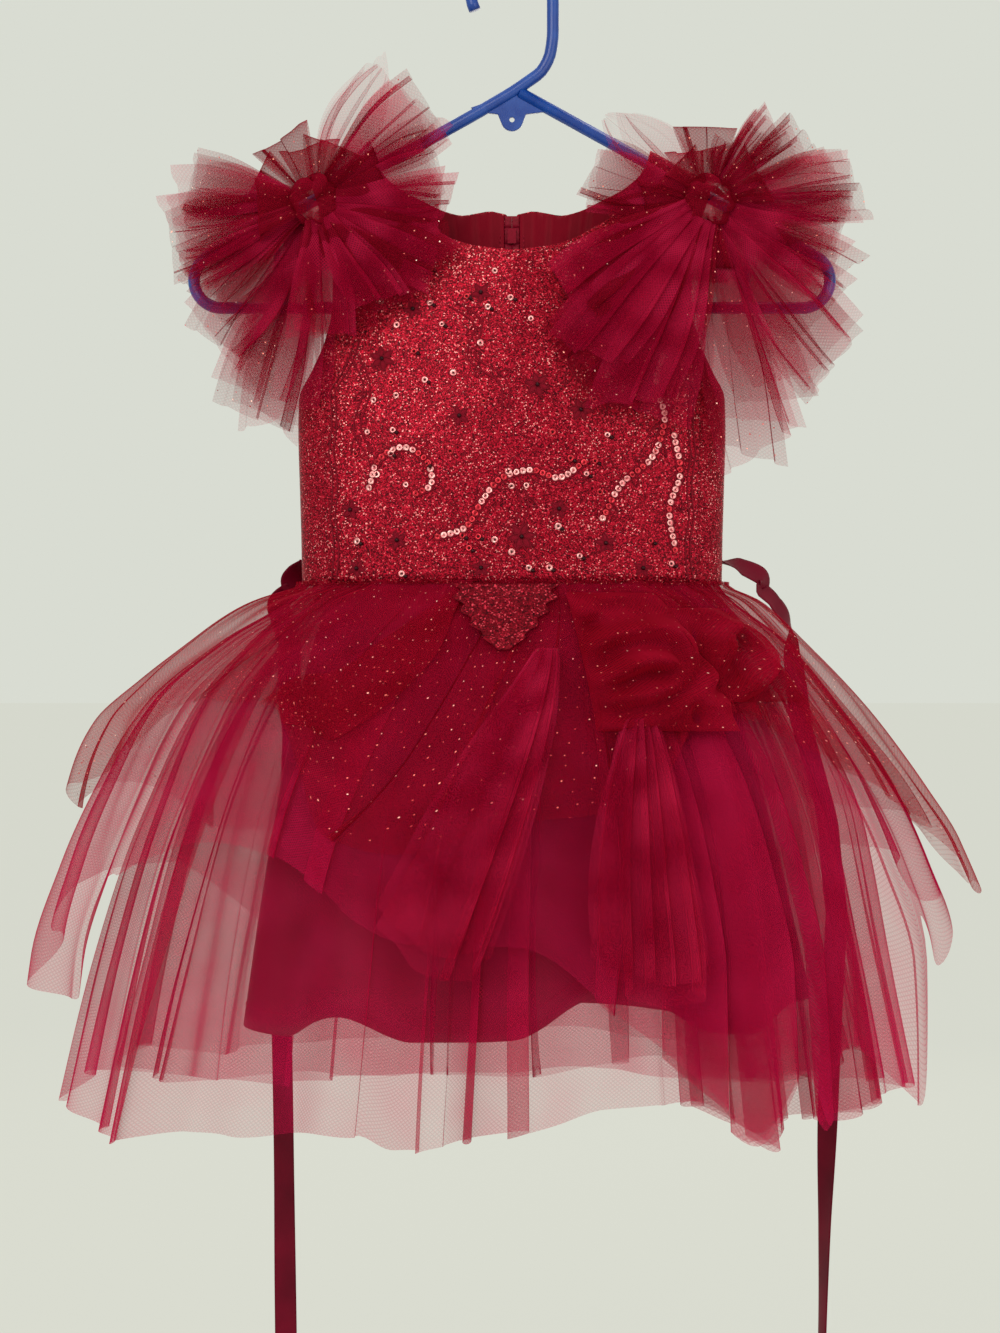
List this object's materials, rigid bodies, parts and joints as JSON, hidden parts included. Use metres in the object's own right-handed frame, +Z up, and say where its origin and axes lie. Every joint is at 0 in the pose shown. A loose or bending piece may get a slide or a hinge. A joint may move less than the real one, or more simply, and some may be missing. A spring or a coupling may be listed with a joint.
{
  "type": "child's pageant tutu dress on a plastic hanger",
  "caption": "Child's sleeveless pageant tutu dress with a glitter bodice, layered tulle skirt, ruffled shoulders and ribbon ties, on a tubular plastic hanger.",
  "frame": {"origin": "inside top of the hanger's hook, where a rail carries it", "axes": "+Z up, -Y the front of the dress, +X the right-hand side as seen from the front"},
  "size_m": [0.6207, 0.2804, 0.9925],
  "materials": {
    "plastic": "injection-moulded polypropylene, glossy blue",
    "glitter_lace": "metallic-yarn glitter knit under corded lace, crimson",
    "lace": "corded and sequinned embroidery on net, crimson",
    "lining_satin": "dull polyester satin, dark crimson",
    "skirt_satin": "polyester satin, crimson",
    "tulle": "soft nylon tulle, sheer crimson",
    "glitter_tulle": "nylon tulle with foil glitter dots, crimson",
    "ribbon": "double-faced satin ribbon, wine",
    "zip": "dyed nylon coil zip and lacquered slider, crimson",
    "label": "blank woven satin label, white"
  },
  "bodies": {
    "dress": {"hanger": "plastic", "bodice_front": "glitter_lace", "front_lace": "lace", "bodice_back_left": "glitter_lace", "back_lining_left": "lining_satin", "bodice_back_right": "glitter_lace", "back_lining_right": "lining_satin", "neck_label": "label", "zip_tape": "zip", "zip_slider": "zip", "skirt_lining": "skirt_satin", "tulle_second": "tulle", "tulle_long": "tulle", "tulle_points": "tulle", "glitter_overskirt": "glitter_tulle", "lace_point": "lace", "pick_up_front": "glitter_tulle", "pick_up_side": "glitter_tulle", "tail_left": "glitter_tulle", "tail_right": "glitter_tulle", "sash_left": "ribbon", "sash_right": "ribbon", "left_knot_front": "glitter_tulle", "left_knot_back": "glitter_tulle", "left_fan_petal": "glitter_tulle", "left_fan_neck": "glitter_tulle", "left_fan_upper": "glitter_tulle", "left_fan_side": "glitter_tulle", "left_fan_lower": "glitter_tulle", "left_fan_chest": "glitter_tulle", "left_fan_back_upper": "glitter_tulle", "left_fan_back_lower": "glitter_tulle", "left_fan_back_shoulder": "glitter_tulle", "right_knot_front": "glitter_tulle", "right_knot_back": "glitter_tulle", "right_fan_petal": "glitter_tulle", "right_fan_neck": "glitter_tulle", "right_fan_upper": "glitter_tulle", "right_fan_side": "glitter_tulle", "right_fan_lower": "glitter_tulle", "right_fan_chest": "glitter_tulle", "right_fan_back_upper": "glitter_tulle", "right_fan_back_lower": "glitter_tulle", "right_fan_back_shoulder": "glitter_tulle"},
    "zip_pull": {"zip_pull_tab": "zip"}
  },
  "joints": [
    {"name": "zip_pull", "type": "hinge", "parent": "dress", "child": "zip_pull", "pos_m": [0, 0.01734, -0.17874], "axis": [1, 0, 0], "range_deg": [0, 160]}
  ]
}
